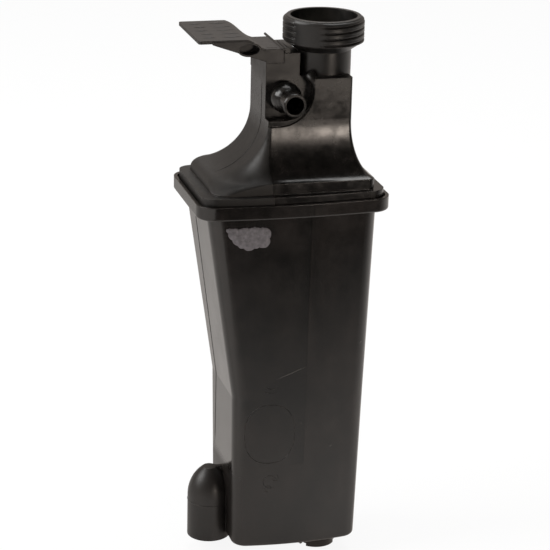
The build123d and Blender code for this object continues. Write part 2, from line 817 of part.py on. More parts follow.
# Push-on retainer near the top of the well
with BuildPart() as well_retainer:
    extrude(disc(sensor_x, sensor_y, retainer_z, retainer_r), amount=retainer_t)
    extrude(disc(sensor_x, sensor_y, retainer_z, well_r), amount=retainer_t, mode=Mode.SUBTRACT)
    with Locations((sensor_x, sensor_y, retainer_z + retainer_t / 2)):
        with PolarLocations(well_r, retainer_slit_count):
            Box(2 * retainer_slit_l, retainer_slit_w, retainer_t, mode=Mode.SUBTRACT)
well_retainer.part.label = "well_retainer"
export_step(well_retainer.part, "parts/well_retainer.step")

# Sensor housing: head with seal groove and bayonet lugs, hollow stem, connector socket
with BuildPart() as sensor_housing:
    seal_z = head_top_z - seal_drop
    tube_bore_r = sensor_stem_r - sensor_tube_wall
    extrude(disc(sensor_x, sensor_y, head_bottom_z, sensor_head_r), amount=sensor_head_h)
    chamfer(sensor_housing.faces().sort_by(Axis.Z)[-1].edges(), sensor_head_edge)
    with BuildSketch(Plane.XY.offset(seal_z - seal_r)):
        with Locations((sensor_x, sensor_y)):
            Circle(sensor_head_r + 1)
            Circle(port_bore_r - 2 * seal_r, mode=Mode.SUBTRACT)
    extrude(amount=2 * seal_r, mode=Mode.SUBTRACT)
    extrude(disc(sensor_x, sensor_y, head_top_z - 1, sensor_stem_r), amount=sensor_tip_z - head_top_z + 1)
    fillet(sensor_housing.faces().sort_by(Axis.Z)[-1].edges(), sensor_tube_wall / 2)
    with Locations((sensor_x, sensor_y, lug_z)):
        with PolarLocations(sensor_head_r + lug_reach / 2 - 0.5, lug_count):
            Box(lug_reach + 1, lug_w, lug_h)
    extrude(
        disc(sensor_x, sensor_y, socket_top_z - 1, tube_bore_r),
        amount=sensor_tip_z - sensor_tube_wall - socket_top_z + 1, mode=Mode.SUBTRACT,
    )
    add_box(
        sensor_x - socket_w / 2, sensor_x + socket_w / 2,
        sensor_y - socket_d / 2, sensor_y + socket_d / 2,
        head_bottom_z - 1, socket_top_z, mode=Mode.SUBTRACT,
    )
sensor_housing.part.label = "sensor_housing"
export_step(sensor_housing.part, "parts/sensor_housing.step")

# Splash seal around the sensor head
with BuildPart() as sensor_seal_ring:
    with BuildSketch(front_view.offset(-sensor_y)):
        with Locations((sensor_x + port_bore_r - seal_r, seal_z)):
            Circle(seal_r)
    revolve(axis=Axis((sensor_x, sensor_y, 0), (0, 0, 1)))
sensor_seal_ring.part.label = "sensor_seal_ring"
export_step(sensor_seal_ring.part, "parts/sensor_seal_ring.step")

# Carrier of the reed switch, with the foot that holds the terminals
with BuildPart() as sensor_carrier:
    blade_xs = (sensor_x - blade_pitch / 2, sensor_x + blade_pitch / 2)
    add_box(
        sensor_x - carrier_w / 2, sensor_x + carrier_w / 2,
        sensor_y - carrier_t / 2, sensor_y + carrier_t / 2,
        foot_bottom_z, socket_top_z + carrier_l,
    )
    add_box(
        sensor_x - socket_w / 2 + snug, sensor_x + socket_w / 2 - snug,
        sensor_y - socket_d / 2 + snug, sensor_y + socket_d / 2 - snug,
        foot_bottom_z, socket_top_z,
    )
    for blade_x in blade_xs:
        add_box(
            blade_x - blade_t / 2, blade_x + blade_t / 2,
            sensor_y - blade_w / 2, sensor_y + blade_w / 2,
            foot_bottom_z, socket_top_z - blade_t, mode=Mode.SUBTRACT,
        )
sensor_carrier.part.label = "sensor_carrier"
export_step(sensor_carrier.part, "parts/sensor_carrier.step")

# Reed switch with its leads, beside the magnet's rest height
with BuildPart() as reed_switch:
    reed_y = sensor_y - carrier_t / 2 - reed_r
    reed_z = magnet_z + (magnet_h - reed_l) / 2
    extrude(disc(sensor_x, reed_y, reed_z, reed_r), amount=reed_l)
    fillet(reed_switch.edges(), reed_r * 0.6)
    extrude(
        disc(sensor_x, reed_y, reed_z - reed_lead_l, reed_lead_r),
        amount=reed_l + 2 * reed_lead_l,
    )
reed_switch.part.label = "reed_switch"
export_step(reed_switch.part, "parts/reed_switch.step")


def add_blade(blade_x):
    """Contact blade, from the carrier's foot down into the socket."""
    add_box(
        blade_x - blade_t / 2, blade_x + blade_t / 2,
        sensor_y - blade_w / 2, sensor_y + blade_w / 2,
        foot_bottom_z - blade_l, socket_top_z - blade_t,
    )


# Contact blades of the connector
with BuildPart() as terminal_left:
    add_blade(blade_xs[0])
    chamfer(terminal_left.faces().sort_by(Axis.Z)[0].edges().filter_by(Axis.Y), blade_t / 3)
terminal_left.part.label = "terminal_left"
export_step(terminal_left.part, "parts/terminal_left.step")

with BuildPart() as terminal_right:
    add_blade(blade_xs[1])
    chamfer(terminal_right.faces().sort_by(Axis.Z)[0].edges().filter_by(Axis.Y), blade_t / 3)
terminal_right.part.label = "terminal_right"
export_step(terminal_right.part, "parts/terminal_right.step")
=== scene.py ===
import math

import bmesh
import bpy
from bpy.props import FloatProperty, FloatVectorProperty, PointerProperty
from mathutils import Matrix, Vector
from mathutils.bvhtree import BVHTree


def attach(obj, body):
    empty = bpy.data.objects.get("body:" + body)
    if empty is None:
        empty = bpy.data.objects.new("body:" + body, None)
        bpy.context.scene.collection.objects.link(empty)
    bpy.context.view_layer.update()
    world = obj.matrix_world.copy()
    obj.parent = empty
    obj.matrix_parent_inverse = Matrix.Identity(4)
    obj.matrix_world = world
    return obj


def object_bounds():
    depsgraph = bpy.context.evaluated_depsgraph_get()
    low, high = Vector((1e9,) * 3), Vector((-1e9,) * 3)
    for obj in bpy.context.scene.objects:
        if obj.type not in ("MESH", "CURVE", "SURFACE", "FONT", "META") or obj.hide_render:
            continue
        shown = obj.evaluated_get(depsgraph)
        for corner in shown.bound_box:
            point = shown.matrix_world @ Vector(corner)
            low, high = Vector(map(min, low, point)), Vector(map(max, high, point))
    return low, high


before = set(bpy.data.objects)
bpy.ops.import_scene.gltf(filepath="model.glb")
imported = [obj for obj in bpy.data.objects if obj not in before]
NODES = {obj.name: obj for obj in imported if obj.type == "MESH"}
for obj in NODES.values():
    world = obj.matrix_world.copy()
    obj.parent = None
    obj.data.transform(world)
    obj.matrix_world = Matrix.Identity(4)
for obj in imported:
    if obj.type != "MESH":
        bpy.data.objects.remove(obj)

bl_info = {
    "name": "Coolant expansion tank looks",
    "version": (1, 0, 0),
    "blender": (4, 5, 0),
    "location": "View3D > Sidebar > Tank",
    "description": "Dresses the packed expansion tank: thread, mould marks, paint dab, finishes and stage",
    "category": "Object",
}

CAD_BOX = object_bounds()
MM = 0.001
TURN = 2 * math.pi

# Materials that added pieces share with the CAD nodes.
SHELL_NYLON = "glass_filled_nylon_moulded"
BODY_NYLON = "glass_filled_nylon_moulded_with_sink_mark"
TAB_NYLON = "nylon_moulded_label_tab"

# Flow streaks and cloudy drift in the nylon: across the tank and along it.
STREAK_W = 14.3 * MM
STREAK_L = 83.3 * MM
DRIFT_W = 33.3 * MM
DRIFT_L = 90.9 * MM

# Sink mark on the front of the body, over the inner wall: its right edge and foot, and how soft they
# and its left side are.
# The dent is bumped; its darker look is painted darker reflection, a band left clear of the lighter haze
# veil.
SINK_EDGE = -16.0 * MM
SINK_FOOT = -290.5 * MM
SINK_EDGE_IN = 0.3 * MM
SINK_EDGE_OUT = 0.5 * MM
SINK_FOOT_FADE = 1.5 * MM
SINK_WIDTH = 12.5 * MM

# Places where the mould was rougher, as ramps along axes from polished to matt. The first is the
# flare at the saddle's left and all that lies beyond it.
SADDLE_FLARE = {"X": (-40.5 * MM, -42.5 * MM)}
NECK_AND_TOWER = {"Z": (-44.8 * MM, -32.8 * MM)}
LOWER_LEFT_CORNER = {"X": (-55.0 * MM, -57.0 * MM), "Z": (-296.0 * MM, -304.0 * MM)}

# Planes clear of the tank, on which the rays start that lay marks on its pieces.
CLEAR = 30 * MM
LEFT = CAD_BOX[0][0] - CLEAR
AHEAD = CAD_BOX[0][1] - CLEAR
RIGHT = CAD_BOX[1][0] + CLEAR
ABOVE = CAD_BOX[1][2] + CLEAR


def linear(code):
    """sRGB hex such as '#1a1715' as linear RGB with alpha."""
    parts = [int(code[i:i + 2], 16) / 255 for i in (1, 3, 5)]
    return [c / 12.92 if c <= 0.04045 else ((c + 0.055) / 1.055) ** 2.4 for c in parts] + [1.0]


class TankSizes(bpy.types.PropertyGroup):
    """Sizes of the pieces that are added to the tank."""

    thread_r: FloatProperty(
        name="Thread radius", description="Radius over the broad ridges of the neck's thread",
        default=26.0 * MM, unit="LENGTH",
    )
    thread_groove: FloatProperty(
        name="Groove depth", description="Depth of the narrow grooves between the ridges",
        default=1.3 * MM, unit="LENGTH",
    )
    thread_pitch: FloatProperty(
        name="Thread pitch", description="Rise of the thread in one turn",
        default=3.85 * MM, unit="LENGTH",
    )
    thread_gap: FloatProperty(
        name="Thread gap", description="Width of each of the two smooth sectors",
        default=math.radians(38), subtype="ANGLE",
    )
    thread_gap_at: FloatProperty(
        name="Thread gap place", description="Direction of the first smooth sector from +X",
        default=math.radians(-132), subtype="ANGLE",
    )
    collar_r: FloatProperty(
        name="Collar radius", description="Radius of the smooth sectors",
        default=25.2 * MM, unit="LENGTH",
    )
    collar_h: FloatProperty(
        name="Collar height", description="Height of the collar that carries the thread",
        default=16.5 * MM, unit="LENGTH",
    )
    outlet_at: FloatVectorProperty(
        name="Outlet shoulder", description="Middle of the shoulder between the outlet's bell and its tube",
        default=(-70.5 * MM, 0.0, -328.5 * MM), unit="LENGTH",
    )
    outlet_r: FloatProperty(
        name="Outlet radius", description="Radius of the outlet's straight part",
        default=14.4 * MM, unit="LENGTH",
    )
    seam_w: FloatProperty(
        name="Parting line width", description="Width of the mould's parting line",
        default=0.7 * MM, unit="LENGTH",
    )
    seam_h: FloatProperty(
        name="Parting line height", description="How far the parting line stands out",
        default=0.22 * MM, unit="LENGTH",
    )
    row_h: FloatProperty(
        name="Blank row height", description="How far the blank rows on the label tab stand out",
        default=0.3 * MM, unit="LENGTH",
    )


class TankColours(bpy.types.PropertyGroup):
    """Colours of the tank's finishes, as linear values."""

    nylon: FloatVectorProperty(
        name="Nylon", description="Glass-filled nylon of the two shells", size=4,
        subtype="COLOR", min=0, max=1, default=linear("#080706"),
    )
    # The haze also makes the lighter veil on the body's front, around the band of painted darker
    # reflection.
    haze: FloatVectorProperty(
        name="Haze", description="Dust and handling marks on the nylon", size=4,
        subtype="COLOR", min=0, max=1, default=linear("#221d1a"),
    )
    paint: FloatVectorProperty(
        name="Marking paint", description="Grey dab under the band", size=4,
        subtype="COLOR", min=0, max=1, default=linear("#2d2a2c"),
    )
    floor: FloatVectorProperty(
        name="Floor", description="Plain floor under the tank", size=4,
        subtype="COLOR", min=0, max=1, default=linear("#fbfbfb"),
    )


def add_node(tree, kind, settings=None, links=None):
    """Adds a shader node, sets its sockets or attributes, and links its inputs."""
    node = tree.nodes.new(kind)
    for key, value in (settings or {}).items():
        if isinstance(key, int) or key in node.inputs.keys():
            node.inputs[key].default_value = value
        else:
            setattr(node, key, value)
    for key, source in (links or {}).items():
        tree.links.new(source, node.inputs[key])
    return node


def new_material(name):
    """Empty node material, with its tree."""
    material = bpy.data.materials.new(name)
    material.use_nodes = True
    material.node_tree.nodes.clear()
    return material, material.node_tree


def finish_material(tree, shader):
    """Connects the shader to the material's output."""
    add_node(tree, "ShaderNodeOutputMaterial", links={"Surface": shader.outputs[0]})


def piece(name, verts, faces, material, slot, body="tank"):
    """Smooth mesh piece that rides on a body, with its material. The slot argument is not used."""
    mesh = bpy.data.meshes.new(name)
    mesh.from_pydata([tuple(v) for v in verts], [], faces)
    work = bmesh.new()
    work.from_mesh(mesh)
    bmesh.ops.recalc_face_normals(work, faces=work.faces)
    work.to_mesh(mesh)
    work.free()
    for polygon in mesh.polygons:
        polygon.use_smooth = True
    thing = bpy.data.objects.new(name, mesh)
    bpy.context.scene.collection.objects.link(thing)
    mesh.materials.append(material)
    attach(thing, body)
    return thing


def sweep(rings, closed=False):
    """Vertices and faces of a tube through rings of equal size: joined end to end where it is closed,
    and capped otherwise."""
    count = len(rings[0])
    verts = [v for ring in rings for v in ring]
    faces = []
    for i in range(len(rings) if closed else len(rings) - 1):
        after = (i + 1) % len(rings)
        for j in range(count):
            k = (j + 1) % count
            faces.append((i * count + j, i * count + k, after * count + k, after * count + j))
    if not closed:
        faces.append(tuple(range(count)))
        faces.append(tuple(range((len(rings) - 1) * count, len(rings) * count)))
    return verts, faces


def join_parts(parts):
    """Vertices and faces of several meshes as one."""
    verts = []
    faces = []
    for part_verts, part_faces in parts:
        start = len(verts)
        verts += part_verts
        faces += [tuple(start + i for i in face) for face in part_faces]
    return verts, faces


def surface_of(node):
    """Search tree of a CAD node's faces."""
    mesh = NODES[node].data
    verts = [v.co.copy() for v in mesh.vertices]
    return BVHTree.FromPolygons(verts, [tuple(p.vertices) for p in mesh.polygons])


def lay_on(surface, points, direction):
    """Points and normals where rays along a direction meet the surface; misses are left out."""
    along = Vector(direction)
    found = []
    for point in points:
        place, normal, _, _ = surface.ray_cast(Vector(point), along)
        if place is not None:
            if normal.dot(along) > 0:
                normal = -normal
            found.append((place, normal))
    return found


def bead_on(path, width, height, closed=False):
    """Low rounded bead that follows a path of points and normals on a surface. Its sides dip under the
    skin, and an open bead runs out thin at both ends."""
    thin_end = 0.15
    taper_points = 4
    shoulder = 0.7
    side_h = 0.6
    rings = []
    last = len(path) - 1
    for i, (place, normal) in enumerate(path):
        before = path[i - 1 if closed else max(i - 1, 0)][0]
        after = path[(i + 1) % len(path) if closed else min(i + 1, last)][0]
        side = (after - before).normalized().cross(normal).normalized()
        share = 1.0
        if not closed:
            from_end = min(i, last - i) / max(1, min(taper_points, last / 2))
            share = min(1.0, thin_end + (1 - thin_end) * from_end)
        w = width * share / 2
        h = height * share
        rings.append([
            place - side * w - normal * h * side_h,
            place - side * w * shoulder + normal * h * side_h,
            place + normal * h,
            place + side * w * shoulder + normal * h * side_h,
            place + side * w - normal * h * side_h,
        ])
    if closed:
        rings.append([v.copy() for v in rings[0]])
    return sweep(rings)


def spread(start, end, count):
    """Points in a straight row."""
    return [Vector(start).lerp(Vector(end), i / (count - 1)) for i in range(count)]


def flow_marks(tree, place, haze_mm):
    """Clouds of the given size, upright flow streaks, and the dust that gathers where both are."""
    clouds = add_node(
        tree, "ShaderNodeTexNoise", {"Scale": 1 / (haze_mm * MM), "Detail": 6.0, "Roughness": 0.65},
        {"Vector": place},
    )
    upright = add_node(
        tree, "ShaderNodeMapping", {"Scale": (1 / STREAK_W, 1 / STREAK_W, 1 / STREAK_L)}, {"Vector": place},
    )
    streaks = add_node(
        tree, "ShaderNodeTexNoise", {"Scale": 1.0, "Detail": 3.0, "Roughness": 0.6, "Distortion": 0.6},
        {"Vector": upright.outputs[0]},
    )
    patch = add_node(
        tree, "ShaderNodeMapRange", {"From Min": 0.42, "From Max": 0.75}, {"Value": clouds.outputs["Fac"]},
    )
    haze_share = add_node(
        tree, "ShaderNodeMath", {"operation": "MULTIPLY"},
        {0: patch.outputs[0], 1: streaks.outputs["Fac"]},
    )
    return clouds.outputs["Fac"], streaks.outputs["Fac"], haze_share.outputs[0]


def sink_dent_and_painted_band(tree, place, axes):
    """Lighter cloudy veil of haze with a clear band left in it, which is painted darker reflection of the
    sink mark: sharp on its right, soft on its left, and closed at its foot. Returns the veil, and the step
    that dents the surface."""
    drift = add_node(
        tree, "ShaderNodeMapping", {"Scale": (1 / DRIFT_W, 1 / DRIFT_W, 1 / DRIFT_L)}, {"Vector": place},
    )
    wander = add_node(
        tree, "ShaderNodeTexNoise", {"Scale": 1.0, "Detail": 4.0, "Roughness": 0.55, "Distortion": 0.4},
        {"Vector": drift.outputs[0]},
    )
    cloudy = add_node(
        tree, "ShaderNodeMapRange", {"From Min": 0.36, "From Max": 0.64, "To Max": 1.1},
        {"Value": wander.outputs["Fac"]},
    )
    turns = SINK_EDGE - SINK_EDGE_IN
    left = add_node(
        tree, "ShaderNodeMapRange",
        {"From Min": SINK_EDGE - SINK_WIDTH, "From Max": turns, "To Min": 1.0, "To Max": 0.0},
        {"Value": axes["X"]},
    )
    right = add_node(
        tree, "ShaderNodeMapRange",
        {"From Min": turns, "From Max": SINK_EDGE + SINK_EDGE_OUT, "To Max": 1.5},
        {"Value": axes["X"]},
    )
    under = add_node(
        tree, "ShaderNodeMapRange",
        {"From Min": SINK_FOOT - SINK_FOOT_FADE, "From Max": SINK_FOOT, "To Min": 1.0, "To Max": 0.0},
        {"Value": axes["Z"]},
    )
    around = add_node(
        tree, "ShaderNodeMath", {"operation": "MAXIMUM"}, {0: left.outputs[0], 1: under.outputs[0]},
    )
    step = add_node(
        tree, "ShaderNodeMath", {"operation": "MAXIMUM"}, {0: around.outputs[0], 1: right.outputs[0]},
    )
    level = add_node(
        tree, "ShaderNodeMath", {"operation": "MULTIPLY"}, {0: step.outputs[0], 1: cloudy.outputs[0]},
    )
    # Lighter haze veil, left clear in the band: painted darker reflection of the sink mark.
    veil_and_painted_band = add_node(tree, "ShaderNodeMath", {"operation": "MULTIPLY", 1: 0.42}, {0: level.outputs[0]})
    return veil_and_painted_band.outputs[0], step.outputs[0]


def rubbed_and_highlit_edges(tree, place, rounded):
    """Spots along the edges, paler in colour: partly rubbed wear, partly a painted edge highlight. 1 where
    the rounded normal leaves the face's own, broken up by a pattern of 4 mm."""
    flat = add_node(tree, "ShaderNodeNewGeometry")
    apart = add_node(
        tree, "ShaderNodeVectorMath", {"operation": "DOT_PRODUCT"}, {0: rounded, 1: flat.outputs["Normal"]},
    )
    ridge = add_node(
        tree, "ShaderNodeMapRange", {"From Min": 0.995, "From Max": 0.90},
        {"Value": apart.outputs["Value"]},
    )
    rub = add_node(
        tree, "ShaderNodeTexNoise", {"Scale": 1 / (4.0 * MM), "Detail": 5.0, "Roughness": 0.7},
        {"Vector": place},
    )
    broken = add_node(
        tree, "ShaderNodeMapRange", {"From Min": 0.42, "From Max": 0.68, "To Max": 0.55},
        {"Value": rub.outputs["Fac"]},
    )
    wear_and_highlight = add_node(
        tree, "ShaderNodeMath", {"operation": "MULTIPLY"}, {0: ridge.outputs[0], 1: broken.outputs[0]},
    )
    return wear_and_highlight.outputs[0]


def matt_roughness(tree, axes, polished, matt):
    """Roughness with the matt places added. Each place is a pair of ramps along axes and extra
    roughness, and the roughest place counts."""
    roughness = polished
    for ramps, extra in matt:
        level = None
        for axis, (start, end) in ramps.items():
            links = {"Value": axes[axis]}
            if level:
                links["To Max"] = level.outputs[0]
            level = add_node(
                tree, "ShaderNodeMapRange", {"From Min": start, "From Max": end, "To Max": extra}, links,
            )
        rougher = add_node(
            tree, "ShaderNodeMath", {"operation": "ADD"}, {0: polished, 1: level.outputs[0]},
        )
        highest = add_node(
            tree, "ShaderNodeMath", {"operation": "MAXIMUM"}, {0: roughness, 1: rougher.outputs[0]},
        )
        roughness = highest.outputs[0]
    return roughness


def nylon_material(name, base, haze, haze_mm, rough, mottle, sunk=False, matt=()):
    """Glass-filled nylon, injection moulded: near-black brown, satin, with a fine spark-eroded grain.
    The eye sees soft wide reflections, upright flow streaks, cloudy patches from handling, and softened
    edges painted paler, partly rubbed wear and partly a painted edge highlight. Where it is sunk, the sink
    mark over the inner wall dents the surface, and a lighter veil with a clear band paints its darker
    reflection."""
    material, tree = new_material(name)
    place = add_node(tree, "ShaderNodeTexCoord").outputs["Object"]
    axes = add_node(tree, "ShaderNodeSeparateXYZ", links={0: place}).outputs
    clouds, streaks, haze_share = flow_marks(tree, place, haze_mm)
    rounded = add_node(tree, "ShaderNodeBevel", {"samples": 4, "Radius": 0.8 * MM}).outputs[0]
    normal = rounded
    if sunk:
        # The veil adds haze over the front and leaves the sink band clear, as painted darker reflection.
        veil_and_painted_band, step = sink_dent_and_painted_band(tree, place, axes)
        haze_share = add_node(tree, "ShaderNodeMath", {"operation": "ADD"}, {0: haze_share, 1: veil_and_painted_band}).outputs[0]
        dip = add_node(
            tree, "ShaderNodeBump", {"Strength": 0.6, "Distance": 0.15 * MM},
            {"Height": step, "Normal": normal},
        )
        normal = dip.outputs[0]
    toned = add_node(tree, "ShaderNodeMix", {"data_type": "RGBA", 6: base, 7: haze}, {0: haze_share})
    # Paler colour along the edges: partly rubbed wear, partly a painted edge highlight.
    colour = add_node(
        tree, "ShaderNodeMix", {"data_type": "RGBA", 7: linear("#5a534d")},
        {0: rubbed_and_highlit_edges(tree, place, rounded), 6: toned.outputs[2]},
    )
    sheen = add_node(
        tree, "ShaderNodeMapRange",
        {"From Min": 0.38, "From Max": 0.66, "To Min": rough, "To Max": rough + mottle}, {"Value": clouds},
    )
    # The real grain is about 0.1 mm. It is drawn at 0.9 mm, because a finer one wouldn't show.
    grain = add_node(
        tree, "ShaderNodeTexNoise", {"Scale": 1 / (0.9 * MM), "Detail": 2.0}, {"Vector": place},
    )
    waves = add_node(
        tree, "ShaderNodeBump", {"Strength": 0.5, "Distance": 0.06 * MM},
        {"Height": streaks, "Normal": normal},
    )
    bump = add_node(
        tree, "ShaderNodeBump", {"Strength": 0.10, "Distance": 0.04 * MM},
        {"Height": grain.outputs["Fac"], "Normal": waves.outputs[0]},
    )
    shader = add_node(
        tree, "ShaderNodeBsdfPrincipled", {"IOR": 1.5},
        {
            "Base Color": colour.outputs[2], "Normal": bump.outputs[0],
            "Roughness": matt_roughness(tree, axes, sheen.outputs[0], matt),
        },
    )
    finish_material(tree, shader)
    return material


def even_material(name, base, shade, rough, cloud_mm, ior=1.49, texture_mm=0.03):
    """One body colour with faint clouding of the given size and a light texture, for small mouldings,
    foam, paint and scuffs."""
    material, tree = new_material(name)
    place = add_node(tree, "ShaderNodeTexCoord").outputs["Object"]
    flow = add_node(
        tree, "ShaderNodeTexNoise", {"Scale": 1 / (cloud_mm * MM), "Detail": 4.0}, {"Vector": place},
    ).outputs["Fac"]
    colour = add_node(tree, "ShaderNodeMix", {"data_type": "RGBA", 6: base, 7: shade}, {0: flow})
    bump = add_node(
        tree, "ShaderNodeBump", {"Strength": 0.2, "Distance": texture_mm * MM}, {"Height": flow},
    )
    shader = add_node(
        tree, "ShaderNodeBsdfPrincipled", {"IOR": ior, "Roughness": rough},
        {"Base Color": colour.outputs[2], "Normal": bump.outputs[0]},
    )
    finish_material(tree, shader)
    return material


def grained_material(name, colour, metallic, rough, grain_mm):
    """Small metal or sintered part: one colour, with an uneven grain that breaks the highlight. The
    grain is drawn at about 1 mm, because the real one is too fine to show."""
    material, tree = new_material(name)
    place = add_node(tree, "ShaderNodeTexCoord").outputs["Object"]
    grain = add_node(
        tree, "ShaderNodeTexNoise", {"Scale": 1 / (grain_mm * MM), "Detail": 6.0}, {"Vector": place},
    ).outputs["Fac"]
    sheen = add_node(
        tree, "ShaderNodeMapRange", {"To Min": rough - 0.06, "To Max": rough + 0.1}, {"Value": grain},
    )
    bump = add_node(tree, "ShaderNodeBump", {"Strength": 0.15, "Distance": 0.02 * MM}, {"Height": grain})
    shader = add_node(
        tree, "ShaderNodeBsdfPrincipled", {"Base Color": colour, "Metallic": metallic},
        {"Roughness": sheen.outputs[0], "Normal": bump.outputs[0]},
    )
    finish_material(tree, shader)
    return material


def glass_material():
    """Drawn glass tube of the reed switch: clear with a green cast and a faint waviness."""
    material, tree = new_material("soda_glass_drawn")
    place = add_node(tree, "ShaderNodeTexCoord").outputs["Object"]
    waves = add_node(
        tree, "ShaderNodeTexNoise", {"Scale": 1 / (1.5 * MM), "Detail": 1.0}, {"Vector": place},
    )
    bump = add_node(
        tree, "ShaderNodeBump", {"Strength": 0.1, "Distance": 0.01 * MM}, {"Height": waves.outputs["Fac"]},
    )
    shader = add_node(
        tree, "ShaderNodeBsdfPrincipled",
        {"Base Color": linear("#cfe6da"), "Roughness": 0.05, "IOR": 1.52, "Transmission Weight": 0.9},
        {"Normal": bump.outputs[0]},
    )
    finish_material(tree, shader)
    return material


class TANK_OT_finishes(bpy.types.Operator):
    """Gives every CAD node its finish"""

    bl_idname = "tank.finishes"
    bl_label = "Node finishes"

    def execute(self, context):
        base = list(context.scene.tank_colours.nylon)
        haze = list(context.scene.tank_colours.haze)
        # Polished mould for the upper shell and the nipple: sharp satin, duller on the flare and above.
        shell = nylon_material(
            SHELL_NYLON, base, haze, haze_mm=9.0, rough=0.17, mottle=0.12,
            matt=((SADDLE_FLARE, 0.26), (NECK_AND_TOWER, 0.17)),
        )
        # The body's large walls: the same satin with wide clouds, and a sink mark down the front: dented,
        # with its darker reflection painted as a band left clear of the haze.
        body = nylon_material(
            BODY_NYLON, base, haze, haze_mm=26.0, rough=0.16, mottle=0.07,
            sunk=True, matt=((LOWER_LEFT_CORNER, 0.22),),
        )
        # Rougher mould for the label tab: greyer and almost without a highlight.
        tab = nylon_material(TAB_NYLON, linear("#161312"), haze, haze_mm=10.0, rough=0.36, mottle=0.12)
        # Uncoloured polypropylene: milky and waxy.
        natural = even_material(
            "natural_polypropylene_moulded", linear("#b9b3a4"), linear("#cfcabd"), rough=0.42, cloud_mm=8.0,
        )
        # Closed-cell foam: a dull skin with pores, drawn at 0.8 mm where real ones are about 0.2 mm.
        foam = even_material(
            "closed_cell_foam_moulded", linear("#242424"), linear("#3a3a3a"), rough=0.85, cloud_mm=0.8,
            ior=1.5, texture_mm=0.2,
        )
        # Red acetal: bright, smooth and slippery, so that the level can be read in the neck.
        red = even_material(
            "acetal_moulded_red", linear("#a82516"), linear("#b52d1c"), rough=0.3, cloud_mm=6.0, ior=1.48,
        )
        # Black PBT: even satin black without a brown cast.
        sensor = even_material(
            "pbt_moulded_black", linear("#171718"), linear("#232324"), rough=0.38, cloud_mm=6.0, ior=1.55,
        )
        # EPDM rubber: matt black, with a bloom drawn at 1.2 mm.
        rubber = even_material(
            "epdm_moulded_seal", linear("#151515"), linear("#202020"), rough=0.6, cloud_mm=1.2, ior=1.5,
        )
        # Sintered ferrite: dull dark grey, no metal shine.
        magnet = grained_material(
            "ferrite_sintered", linear("#4a4a4d"), metallic=0.0, rough=0.55, grain_mm=0.6,
        )
        # Stamped spring steel: bright grey with a broken shine.
        steel = grained_material(
            "spring_steel_stamped", linear("#b6b7ba"), metallic=1.0, rough=0.32, grain_mm=1.2,
        )
        # Tin plate on brass: pale and slightly warm.
        tin = grained_material(
            "brass_tin_plated", linear("#cfc9b4"), metallic=1.0, rough=0.25, grain_mm=1.0,
        )
        finishes = {
            "upper_shell": shell, "lower_shell": body, "hose_nipple": shell, "label_tab": tab,
            "float_cage": natural, "cage_end_cap": natural, "indicator_float": foam,
            "indicator_stem": red, "ring_float": foam, "float_magnet": magnet,
            "well_retainer": steel, "sensor_housing": sensor, "sensor_carrier": natural,
            "reed_switch": glass_material(), "sensor_seal_ring": rubber, "terminal_left": tin,
            "terminal_right": tin,
        }
        for name, material in finishes.items():
            slots = NODES[name].data.materials
            slots.clear()
            slots.append(material)
        return {"FINISHED"}


class TANK_OT_neck_thread(bpy.types.Operator):
    """Builds the interrupted thread around the filler neck"""

    bl_idname = "tank.neck_thread"
    bl_label = "Neck thread"

    top = -0.75 * MM
    first_groove = -3.2 * MM
    thread_start = math.radians(86)
    groove_w = 0.52 * MM
    crest_hollow = 0.06 * MM
    hollow_per_pitch = 6
    long_run_out = 0.26
    short_run_out = 0.05
    top_round = 2.0 * MM
    foot_round = 0.7 * MM
    foot_gap = 0.05 * MM
    sleeve_wall = 1.2 * MM
    end_wall = 0.5 * MM
    rows = 66
    columns = 288

    def thread_radius(self, sizes, angle, z):
        """Radius of the collar in one direction and at one height. Narrow grooves climb in a helix
        between broad ridges, which run out into the smooth sectors, slowly at one end and at once at
        the other."""
        away = (angle - sizes.thread_gap_at) % math.pi
        into = min(away, math.pi - away) - sizes.thread_gap / 2
        run_out = self.long_run_out if away < math.pi / 2 else self.short_run_out
        full = min(1.0, max(0.0, into / run_out))
        full = full * full * (3 - 2 * full)
        lift = sizes.thread_pitch * (((angle + self.thread_start) % TURN) / TURN)
        phase = (z - self.first_groove - lift) / sizes.thread_pitch
        phase -= math.floor(phase)
        off = min(phase, 1 - phase) * sizes.thread_pitch
        groove = math.exp(-(off / self.groove_w) ** 4)
        dip = self.crest_hollow * math.exp(-((phase - 0.5) * self.hollow_per_pitch) ** 2)
        ridge = sizes.thread_r - sizes.thread_groove * groove - dip
        return sizes.collar_r + (ridge - sizes.collar_r) * full

    def execute(self, context):
        sizes = context.scene.tank_sizes
        low = -sizes.collar_h + self.foot_gap
        inside = sizes.collar_r - self.sleeve_wall
        end_r = inside + self.end_wall
        rings = []
        for i in range(self.columns):
            angle = TURN * i / self.columns
            out = (math.cos(angle), math.sin(angle))
            ring = []
            for j in range(self.rows + 1):
                z = self.top + (low - self.top) * j / self.rows
                lead = min(1.0, (self.top - z) / self.top_round)
                tail = min(1.0, (z - low) / self.foot_round)
                soft = (1 - (1 - lead) ** 2) * (1 - (1 - tail) ** 2)
                reach = end_r + (self.thread_radius(sizes, angle, z) - end_r) * soft
                ring.append(Vector((reach * out[0], reach * out[1], z)))
            ring.append(Vector((inside * out[0], inside * out[1], low)))
            ring.append(Vector((inside * out[0], inside * out[1], self.top)))
            rings.append(ring)
        piece("neck_thread", *sweep(rings, closed=True), bpy.data.materials[SHELL_NYLON], "shell_nylon")
        return {"FINISHED"}


